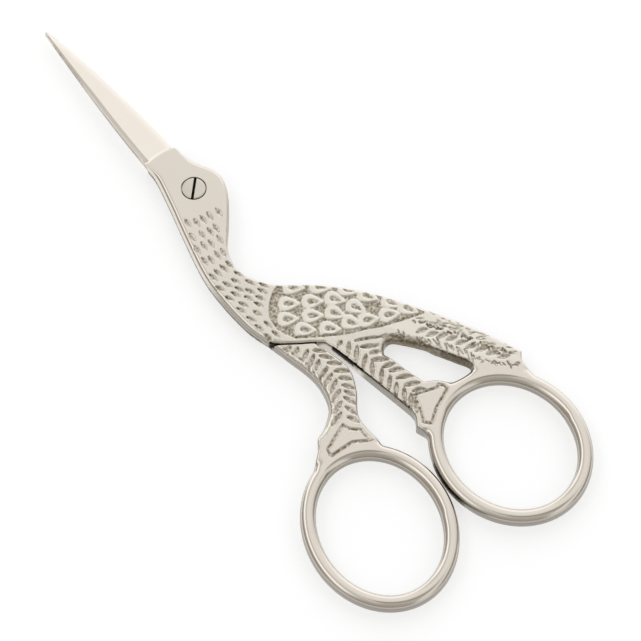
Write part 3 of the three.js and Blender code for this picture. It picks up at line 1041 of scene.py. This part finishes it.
def use(tree, pieces, lines=(), closed=False, **sizes):
    """Uses a tool on pieces, along lines on the drawing. Sizes that aren't given stay 0."""
    inputs = (item for item in tree.interface.items_tree if item.in_out == "INPUT")
    identifiers = {item.name: item.identifier for item in inputs}
    values = {name: value * MM if name in LENGTHS else value for name, value in sizes.items()}
    values["Material"] = nickel
    if "Path" in identifiers:
        values["Path"] = path(lines, closed)
    for piece in pieces:
        modifier = piece.modifiers.new(tree.name, "NODES")
        modifier.node_group = tree
        for name, value in values.items():
            modifier[identifiers[name]] = value
        baked(piece)
    if "Path" in values:
        bpy.data.objects.remove(values["Path"])


# %% [markdown]
# ## The plumage
# The neck has rows of leaf-shaped dimples. The wing is a sunk ground with teardrop scales left
# standing, each with a sunk eye. The legs have soft barbs on both sides of a shaft, and the tail
# has long feathers with a ragged shaft, cut with less care than the rest.

# %% Neck and wing
DIMPLE_ROWS = [  # each with the direction of its dimples, in degrees
    (172, [(-5.7, -0.3), (-5.3, 1.2), (-5.2, 2.4), (-4.9, 3.5), (-4.1, 4.6)]),
    (172, [(-7.6, 1.8), (-7.5, 2.9), (-7.1, 4.2), (-6.5, 5.6)]),
    (172, [(-9.5, 2.6), (-9.2, 4.1), (-8.8, 5.2), (-8.6, 6.4)]),
    (172, [(-11.6, 3.6), (-11.4, 4.6), (-11.4, 5.9), (-10.9, 6.8)]),
    (185, [(-13.8, 4.2), (-13.8, 5.3), (-13.8, 6.5), (-13.9, 7.5)]),
    (200, [(-16.0, 4.1), (-16.6, 5.3), (-16.3, 6.6), (-16.1, 7.9)]),
    (200, [(-18.2, 3.7), (-18.1, 5.7), (-18.4, 6.7), (-18.3, 7.9)]),
    (200, [(-19.9, 2.4), (-19.4, 4.7), (-20.2, 5.6), (-20.5, 6.9), (-21.0, 7.8)]),
    (200, [(-20.6, 3.2), (-21.3, 4.2), (-22.0, 5.1), (-23.0, 6.2), (-23.2, 7.6)]),
    (190, [(-25.5, 6.2), (-25.1, 7.6)]), (186, [(-27.6, 6.3), (-27.3, 7.5)]),
]
CLEANER_ROWS = 4  # the first rows hold a little less dried polish
DIMPLE = 1.55  # length
WING_FRONT = [
    (-21.2, 0.2), (-21.4, 0.6), (-21.7, 1.6), (-22.3, 2.7), (-23.2, 3.8), (-24.5, 4.9), (-25.7, 5.3),
    (-27.0, 5.4), (-28.3, 5.1), (-29.8, 4.4),
]
WING_FOOT = [
    (-29.8, 4.4), (-32.1, 1.3), (-33.4, -0.6), (-34.6, -2.6), (-35.6, -4.8), (-36.7, -6.8),
    (-37.6, -9.0), (-38.2, -10.5), (-39.2, -13.4),
]
WING_BACK = [(-38.0, -12.9), (-36.0, -11.9), (-30.3, -8.2), (-25.3, -3.6), (-22.4, -0.4)]
SCALE_ROWS = [
    [(-23.2, -0.9), (-25.8, -4.1), (-28.9, -7.1), (-31.6, -8.7), (-34.8, -10.8), (-37.3, -12.1)],
    [(-24.9, 1.4), (-26.9, -1.6), (-28.8, -4.5), (-32.0, -6.1)],
    [(-26.8, 3.2), (-28.8, -0.1), (-30.7, -3.0), (-33.6, -3.9), (-34.8, -6.2), (-36.2, -9.2)],
    [(-29.9, 2.3), (-32.2, -0.7)],
]
SCALE_LEAN = math.radians(-6)
STRIP_FOOT = [(-36.2, -2.3), (-37.0, -3.8), (-38.1, -5.6), (-38.4, -6.2), (-39.1, -7.2), (-40.1, -7.9)]

# %% Legs and tail
LEFT_BARBS = [  # where each barb starts, and how far it runs: first the front shin, then the rear one
    (-34.9, -0.6, -0.4, 1.0), (-35.8, -1.4, -1.7, 1.6), (-37.1, -1.9, -2.1, 2.0), (-39.1, -2.0, -1.5, 1.9),
    (-40.6, -1.9, -1.9, 1.4), (-42.5, -2.3, -1.7, 1.6), (-44.2, -2.5, -1.5, 1.5), (-45.7, -2.5, -1.7, 1.6),
    (-47.1, -2.8, -2.0, 1.5), (-48.5, -3.0, -1.9, 1.7), (-49.8, -2.9, -1.6, 1.2),
    (-30.6, 6.0, -0.4, 0.9), (-31.5, 5.2, -0.8, 1.2), (-32.8, 4.3, -0.9, 1.7), (-34.0, 4.1, -1.2, 2.1),
    (-35.2, 4.1, -1.0, 1.4), (-36.9, 3.9, -0.9, 2.2), (-38.2, 4.1, -1.0, 2.2), (-39.4, 4.2, -1.2, 2.0),
    (-41.1, 4.9, -0.8, 2.1), (-42.7, 6.0, -0.9, 2.1), (-44.1, 7.2, -0.7, 2.4),
]
RIGHT_BARBS = [
    (-37.6, -2.3, -1.5, -2.1), (-39.3, -2.7, -0.8, -1.5), (-40.3, -2.1, -1.5, -2.0),
    (-42.3, -2.6, -0.7, -1.9), (-43.5, -3.0, -1.1, -2.1), (-45.1, -3.1, -1.2, -2.2),
    (-46.8, -3.2, -1.1, -2.1), (-48.3, -3.6, -0.9, -1.6),
    (-33.4, 3.6, -1.3, -1.3), (-34.7, 3.5, -1.6, -1.3), (-36.4, 3.3, -1.4, -1.4), (-38.1, 3.4, -1.5, -1.8),
    (-39.5, 3.6, -1.3, -1.3), (-40.7, 4.0, -1.5, -1.0), (-41.7, 4.4, -1.4, -0.6), (-42.4, 5.1, -2.0, -0.6),
    (-43.8, 6.0, -2.0, -0.5), (-45.3, 6.8, -1.7, -0.7),
]
DOTS = [(-30.4, 6.9), (-31.8, 6.4), (-33.1, 6.1), (-34.5, 6.0), (-36.2, 5.9), (-37.5, 5.8)]
TAIL_SHAFT = [(-39.5, -11.4), (-41.8, -12.9), (-44.3, -14.4), (-46.8, -15.7), (-49.4, -16.8), (-52.8, -18.8)]
TAIL_FEATHERS = [
    (-41.1, -10.4, -0.6, -1.7), (-42.6, -11.2, -0.6, -1.7), (-43.8, -12.2, -0.6, -1.7),
    (-45.1, -13.0, -0.6, -1.7), (-46.5, -13.7, -0.7, -1.7), (-48.0, -14.4, -0.7, -1.7),
    (-49.3, -15.2, -0.7, -1.6), (-50.8, -16.2, -0.8, -1.6), (-52.4, -17.2, -0.8, -1.5),
]
TAIL_EDGE = [(-39.6, -8.3), (-41.9, -9.2), (-43.6, -10.9), (-46.3, -12.5), (-48.3, -13.7), (-50.2, -14.5)]
TAIL_END = [(-50.6, -14.6), (-51.7, -15.4), (-53.4, -16.8), (-55.4, -18.9)]
TAIL_TOP = [(-40.2, -14.0), (-42.4, -15.2), (-46.5, -17.1), (-48.6, -18.2), (-51.4, -19.6)]
PANELS = [
    [(-49.0, -3.3), (-50.2, -6.7), (-49.9, -7.3), (-51.2, -8.0), (-51.5, -7.3), (-52.7, -4.4),
     (-54.2, -2.2), (-53.3, -1.4), (-51.7, -2.3), (-49.7, -3.0)],
    [(-45.8, 8.3), (-47.0, 7.9), (-48.2, 6.7), (-49.8, 6.7), (-50.3, 6.9), (-48.9, 9.0),
     (-48.7, 11.3), (-48.6, 13.0), (-47.4, 12.6), (-46.6, 10.5)],
]
chance = np.random.default_rng(7)


def dab(x, y, length, degrees):
    """A short stroke about a point."""
    dx, dy = length / 2 * math.cos(math.radians(degrees)), length / 2 * math.sin(math.radians(degrees))
    return [(x - dx, y - dy), (x + dx, y + dy)]


def barbs(starts):
    return [[(x, y), (x + run_x, y + run_y)] for x, y, run_x, run_y in starts]


def ragged(line, step, length, degrees, spread, turn):
    """Short strokes along a line, with their places, lengths and directions shaken about."""
    strokes = []
    for x, y in spaced(smooth(line), step):
        aside = chance.normal(0, spread, 2)
        stretch = chance.uniform(0.6, 1.4)
        strokes.append(dab(x + aside[0], y + aside[1], length * stretch, degrees + chance.normal(0, turn)))
    return strokes


def engrave_neck_and_wing(pieces):
    wing_front, wing_foot, wing_back = smooth(WING_FRONT), smooth(WING_FOOT), smooth(WING_BACK)
    wing = [*wing_front, *wing_foot[1:], *wing_back[1:]]
    use(GROUND, pieces, [wing], closed=True, Wall=0.2, Depth=0.14, Stain=0.68)
    use(PUNCH, pieces, SCALE_ROWS, Lean=SCALE_LEAN, Length=3.15, Width=2.75, Point=0.2, Wall=0.24,
        Stand=1.0)
    use(PUNCH, pieces, SCALE_ROWS, Lean=SCALE_LEAN, Length=1.5, Width=0.7, Point=0.25, Wall=0.22,
        Depth=0.15, Stain=0.7)
    use(LINER, pieces, [wing_front], Wall=0.25, Depth=0.15, Stain=0.75, Floor=0.2)
    use(LINER, pieces, [wing_foot, smooth(STRIP_FOOT)], Wall=0.275, Depth=0.2, Stain=0.74, Floor=0.2)
    for rows, stain in ((DIMPLE_ROWS[:CLEANER_ROWS], 0.8), (DIMPLE_ROWS[CLEANER_ROWS:], 0.96)):
        dimples = [dab(x, y, DIMPLE, degrees) for degrees, row in rows for x, y in row]
        use(GOUGE, pieces, dimples, Width=0.95, Depth=0.17, Stain=stain, Leaf=0.75, Fade=0.55, Floor=0.1)


def engrave_legs(pieces):
    for starts, width, leaf in ((LEFT_BARBS, 1.3, 0.6), (RIGHT_BARBS, 1.15, 0.55)):
        use(GOUGE, pieces, barbs(starts), Width=width, Depth=0.28, Stain=0.66, Leaf=leaf, Taper=0.1,
            Fade=0.2)
    use(GOUGE, pieces, [dab(x, y, 0.2, 0) for x, y in DOTS], Width=0.4, Depth=0.15, Stain=0.9, Floor=0.2)
    use(LINER, pieces, PANELS, closed=True, Wall=0.3, Depth=0.15, Stain=0.75, Floor=0.1)


def engrave_tail(pieces):
    use(GOUGE, pieces, barbs(TAIL_FEATHERS), Width=1.25, Depth=0.24, Stain=0.5, Leaf=0.7, Taper=0.2)
    shaft = ragged(TAIL_SHAFT, step=0.42, length=0.5, degrees=225, spread=0.3, turn=50)
    use(GOUGE, pieces, shaft, Width=0.46, Depth=0.22, Stain=0.76, Leaf=0.5, Floor=0.2)
    below = moved(TAIL_SHAFT, -0.5, -0.9)
    soft = ragged(below, step=0.55, length=1.1, degrees=238, spread=0.35, turn=18)
    soft += ragged(TAIL_TOP, step=0.8, length=0.9, degrees=205, spread=0.3, turn=25)
    use(GOUGE, pieces, soft, Width=0.5, Depth=0.1, Stain=0.45, Leaf=0.7)
    tips = ragged(TAIL_EDGE, step=0.62, length=1.35, degrees=167, spread=0.15, turn=9)
    use(GOUGE, pieces, tips, Width=0.42, Depth=0.17, Stain=0.72, Leaf=0.6, Fade=0.3, Floor=0.1)
    rim = ragged(TAIL_END, step=0.4, length=0.5, degrees=225, spread=0.2, turn=50)
    use(GOUGE, pieces, rim, Width=0.36, Depth=0.15, Stain=0.68, Leaf=0.3, Floor=0.1)


# %% Note where the polish is dull, and engrave
PLUMAGE = (-18.0, -8.0)  # along x, where everything is dull and where the neck's dimples begin to be
RING_CLEAR = (1.8, 3.2)  # from a ring's middle line, where the dull plumage begins and is full
WING_AND_TAIL = [*WING_FRONT, (-33.4, -0.6), (-36.7, -6.8), (-38.2, -8.0), (-40.0, -8.0), (-50.0, -13.0)]


def vertex_places(mesh):
    values = np.empty(len(mesh.vertices) * 3)
    mesh.vertices.foreach_get("co", values)
    return values.reshape(-1, 3) / MM


def note(mesh, name, values):
    """Keeps a number for each point of a mesh, for the materials and the trees to read."""
    kept = mesh.attributes.get(name) or mesh.attributes.new(name, "FLOAT", "POINT")
    kept.data.foreach_set("value", values.astype(np.float32))


def note_plumage(piece, ring):
    """The body is dull and slightly stained, and the wing and the tail are duller and cleaner."""
    places = vertex_places(piece.data)
    x, y = places[:, 0], places[:, 1]
    plumage = (1 - ramp(*PLUMAGE, x)) * ramp(*RING_CLEAR, out_of_ring(ring, places[:, :2]))
    edge_x, edge_y = np.array(WING_AND_TAIL[::-1]).T
    on_wing = ramp(0, 0.4, np.interp(x, edge_x, edge_y) - y) * (x < edge_x[-1])
    note(piece.data, "satin", plumage * (0.3 + 0.4 * on_wing))
    note(piece.data, "stain", plumage * (0.06 - 0.05 * on_wing))


note_plumage(front, FRONT_RING)
note_plumage(rear, REAR_RING)
engrave_neck_and_wing([front, rear])
engrave_legs([front, rear])
engrave_tail([front])
use(PRESS, [front, rear], Grit=0.32, GritDepth=0.12, Wave=1.2, WaveDepth=0.09)
print("front half has", len(front.data.vertices), "points after engraving")

# %% Shading of the halves
SHARP = math.radians(32)
CRISP = math.radians(5)  # on the ground blades
CRISP_FROM = BLADE_HEEL - 0.9
STEEP = (0.35, 0.75)  # how far a point looks up or down where it is a side, and where it is a face
PAINTED_SHADE_LINES = [  # lines where shade is painted dark into the stain: how far from them, how much, and from which height to which
    ([BELLY, BELLY_TURN, *SPLIT[:3], (-32.5, 2.5)], 0.3, 1.0, 0.3, 2.85),
    ([(-35.0, 1.0), (-36.2, 0.75), (-38.6, 0.4)], 0.45, 1.0, 1.4, 2.97),
    ([(-38.6, 0.4), (-39.6, 0.25)], 0.4, 1.0, 1.9, 2.97),
    ([(-39.6, 0.25), (-40.6, 0.1)], 0.4, 1.0, 2.3, 2.97),
    ([(-40.6, 0.1), (-42.3, -0.15), (-47.0, -1.2), FRONT_LEG_INSIDE[-1]], 0.4, 0.9, 2.6, 2.97),
    ([(-50.4, -12.9), (-48.4, -12.56), (-44.2, -10.3), (-40.3, -7.56), (-39.4, -6.5)], 1.1, 0.75, 0.0, 2.97),
    ([(-59.5, 2.36), RINGS_MEET, (-67.0, 3.19)], 1.0, 0.9, 0.4, 2.6),
    ([(-46.5, -11.4), (-48.4, -12.56), (-50.4, -12.9)], 0.9, 0.85, 0.9, 2.97),
    (THROAT[1:], 0.4, 0.8, -0.5, 1.45),
    (spine_side()[::15], 0.3, 0.5, 1.0, 2.2),
]
UNSHADED_WALLS = [  # walls mostly spared the painted side shade, how far from the line, and where along x that starts and is full
    (THROAT[2:], 0.5, -19.0, -12.0),
    ([*SPLIT[2:], *FRONT_LEG_INSIDE[1:3]], 0.5, -41.5, -40.0),
    ([HEEL_FRONT, (BLADE_HEEL, SPINE_WIDTH)], 2.5, 7.3, 7.5),
    (edge_side()[::15], 0.8, 7.0, 8.0),
]


def near_line(line, places, reach, full):
    """1 near a line and 0 from `reach` away, and full as far as a share of that."""
    return 1 - ramp(full * reach, reach, line_distance(smooth(line), places[:, :2]))


def shade(piece):
    """Smooth shading with crisp lines at the ground edges, and painted shade noted on the sides and in the
    gaps.
    """
    mesh = piece.data
    work = bmesh.new()
    work.from_mesh(mesh)
    for edge in work.edges:
        limit = CRISP if min(v.co.x for v in edge.verts) > CRISP_FROM * MM else SHARP
        edge.smooth = edge.calc_face_angle(0.0) < limit
    for face in work.faces:
        face.smooth = True
    work.to_mesh(mesh)
    work.free()
    places = vertex_places(mesh)
    x, height = places[:, 0], places[:, 2]
    normals = np.empty(len(places) * 3)
    mesh.vertices.foreach_get("normal", normals)
    # Painted shade: steep points are marked to be tinted grey, and near the walls of the list just above
    # that mark is mostly taken off.
    steep = 1 - ramp(*STEEP, np.abs(normals[2::3]))
    for line, reach, start, full in UNSHADED_WALLS:
        steep *= 1 - 0.95 * near_line(line, places, reach, 0.5) * ramp(start, full, x)
    stain = np.empty(len(places), np.float32)
    mesh.attributes["stain"].data.foreach_get("value", stain)
    # Painted shade: the stain is raised near these lines, so walls in the split, along the inner legs, by
    # the tail window, between the rings and low on the outer walls render dark.
    for line, reach, amount, low, high in PAINTED_SHADE_LINES:
        level = ramp(low - 0.1, low, height) * (1 - ramp(high - 0.1, high, height))
        stain = np.maximum(stain, amount * near_line(line, places, reach, 0.6) * level)
    note(mesh, "steep", steep)
    note(mesh, "stain", stain)


shade(front)
shade(rear)
print("steep sides and dirt noted on", front.name, "and", rear.name)

# %% [markdown]
# ## The screw
# It is turned from bar, with a flat head let into the front half, a slot cut across it, and a
# shank that is threaded into the rear half and dressed flush behind. A profile is turned about the
# axis, because that is how the real one is made, and the slot is cut after.

# %% Screw
SLOT_WIDTH = 0.44
SLOT_DEPTH = 0.5
SLOT_TURN = math.radians(133)
SLOT_REACH = 4


def make_screw():
    head, shank = SCREW_HEAD / 2, SCREW_SHANK / 2
    under = THICKNESS - SCREW_HEAD_HEIGHT
    profile = [(0.02, 0.04), (shank - 0.12, 0.02), (shank, 0.14), (shank, under), (head, under)]
    rounded = ((0, 0.09), (0.03, 0.05), (0.09, 0.02), (0.3, 0.005))  # inwards and down at the head's rim
    profile += [(head - inwards, THICKNESS - down) for inwards, down in rounded]
    screw = lathe("pivot_screw_turned", [*profile, (0.02, THICKNESS)])
    c, s = math.cos(SLOT_TURN), math.sin(SLOT_TURN)
    corners = [(x * SLOT_REACH, y * SLOT_WIDTH / 2) for x, y in ((-1, -1), (1, -1), (1, 1), (-1, 1))]
    slot = [(x * c - y * s, x * s + y * c) for x, y in corners]
    cut(screw, prism("slot", slot, THICKNESS - SLOT_DEPTH, THICKNESS + 1))
    screw.data.shade_smooth()
    screw.data.set_sharp_from_angle(angle=SHARP)
    screw.data.materials.clear()
    screw.data.materials.append(screw_steel)
    return screw


screw = make_screw()
print("screw", len(screw.data.vertices), "points")

# %% [markdown]
# ## Table and light
# Polished metal shows its surroundings more than its own colour. The photographer's light tent is
# bright on the far side, and darker overhead and in front, where the camera looks in. Its left
# wall has a bright panel between darker edges, and its right wall darkens outwards. That gives flat
# nickel its quiet cream tone, and lets rounded edges flash white next to a thin dark line.

# %% Table and light
TABLE_SIZE = 3.0  # metres
TABLE_GLOW = 0.61  # what is added where the table is looked at, so that it shows nearly white
ROOF = [  # brightness from over the camera to the far wall
    (-1.0, 0.36), (-0.85, 0.3), (-0.6, 0.36), (-0.35, 0.42), (-0.2, 0.34), (-0.08, 0.2), (0.02, 0.24),
    (0.14, 0.6), (0.24, 0.74), (0.46, 0.74), (0.6, 0.78), (0.68, 0.82), (0.78, 0.98), (0.94, 1.05),
    (1.0, 0.7),
]
SIDES = [  # brightness from the left wall to the right one
    (-1.0, 0.3), (-0.86, 0.26), (-0.76, 0.32), (-0.68, 0.8), (-0.6, 1.1), (-0.5, 1.1), (-0.43, 0.8),
    (-0.37, 0.5), (-0.28, 0.45), (-0.2, 0.55), (-0.1, 0.74), (0.5, 0.7), (0.78, 0.66), (0.9, 0.3),
    (1.0, 0.2),
]
# The walls take the roof's place in these directions: an axis, where a wall begins and where it is full.
RIGHT_WALL = [(0, 0.40, 0.62), (1, 0.74, 0.55)]
LEFT_WALL = [(0, -0.06, -0.15), (1, -0.7, -0.2), (1, 0.86, 0.72)]
TENT_LIGHT = 1.15
WARMTH = 0.06


def brightness_ramp(tree, value, stops):
    """Brightness along a value from -1 to 1. Darker light is a little warmer."""
    share = add(tree, RANGE, [value, -1.0, 1.0])
    made = add(tree, "ShaderNodeValToRGB", [share])
    elements = made.color_ramp.elements
    elements.remove(elements[1])
    for number, (position, level) in enumerate(stops):
        element = elements[0] if number == 0 else elements.new((position + 1) / 2)
        element.position = (position + 1) / 2
        warmth = WARMTH * (1 - min(level, 1))
        colour = (level + warmth / 2, level + warmth / 4, level - warmth / 2)
        element.color = (*[TENT_LIGHT * channel for channel in colour], 1.0)
    return made


def wall(tree, way, limits):
    """1 in the directions of one wall, and 0 away from it."""
    shown = 1.0
    for axis, start, full in limits:
        past = add(tree, RANGE, [way[axis], start, full], interpolation_type="SMOOTHSTEP")
        shown = add(tree, MATH, [shown, past], operation="MULTIPLY")
    return shown


def make_table():
    """A white sheet that takes soft shadows, and glows for the rays that look at it."""
    half = TABLE_SIZE / 2 / MM
    corners = [(x * half, y * half, 0) for x, y in ((-1, -1), (1, -1), (1, 1), (-1, 1))]
    table = new_object("table", corners, [(0, 1, 2, 3)])
    material, tree, shader = new_material("white_table")
    fill(tree, shader, {"Base Color": srgb("#c9cbcd"), "Roughness": 0.7, "Specular IOR Level": 0.0})
    ray = add(tree, "ShaderNodeLightPath").outputs
    looked_at = ray["Is Camera Ray"]
    for kind in ("Is Glossy Ray", "Is Transmission Ray"):
        looked_at = add(tree, MATH, [looked_at, ray[kind]], operation="MAXIMUM")
    glow = add(tree, MATH, [looked_at, TABLE_GLOW], operation="MULTIPLY")
    light = add(tree, "ShaderNodeEmission", {"Strength": glow})
    both = add(tree, "ShaderNodeAddShader", [shader, light])
    fill(tree, tree.nodes["Material Output"], {"Surface": both})
    table.data.materials.append(material)


def make_world():
    """Brightness by direction, with x to the picture's right, y away from the camera and z up."""
    world = bpy.data.worlds.new("light_tent")
    world.use_nodes = True
    bpy.context.scene.world = world
    tree = world.node_tree
    seen = {"Vector": add(tree, "ShaderNodeTexCoord").outputs["Generated"], "Angle": BLADE_LEAN}
    turned = add(tree, "ShaderNodeVectorRotate", seen, rotation_type="Z_AXIS")
    way = add(tree, "ShaderNodeSeparateXYZ", [turned]).outputs
    aside = add(tree, MATH, [wall(tree, way, LEFT_WALL), wall(tree, way, RIGHT_WALL)], operation="ADD")
    roof, sides = brightness_ramp(tree, way[1], ROOF), brightness_ramp(tree, way[0], SIDES)
    tent = add(tree, MIX, {0: aside, 6: roof, 7: sides}, data_type="RGBA")
    camera_ray = add(tree, "ShaderNodeLightPath").outputs["Is Camera Ray"]
    shown = add(tree, MIX, {0: camera_ray, 6: tent, 7: (1.0, 1.0, 1.0, 1.0)}, data_type="RGBA")
    fill(tree, tree.nodes["Background"], {"Color": shown, "Strength": 1.0})


make_table()
make_world()
bpy.context.scene.view_settings.view_transform = "Standard"
print("table", TABLE_SIZE, "m wide")

# %% [markdown]
# ## Put the pieces on their bodies
# Each new piece stands for its imported node and moves with that node's body.

# %% Bodies
for piece, body, node, slot in (
    (front, "front", "front_half", "plated_steel"),
    (rear, "rear", "rear_half", "plated_steel"),
    (screw, "rear", "pivot_screw", "screw_steel"),
):
    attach(piece, body)
    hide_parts(node)
    print(piece.name, "rides on", body, "with", len(piece.data.polygons), "faces")
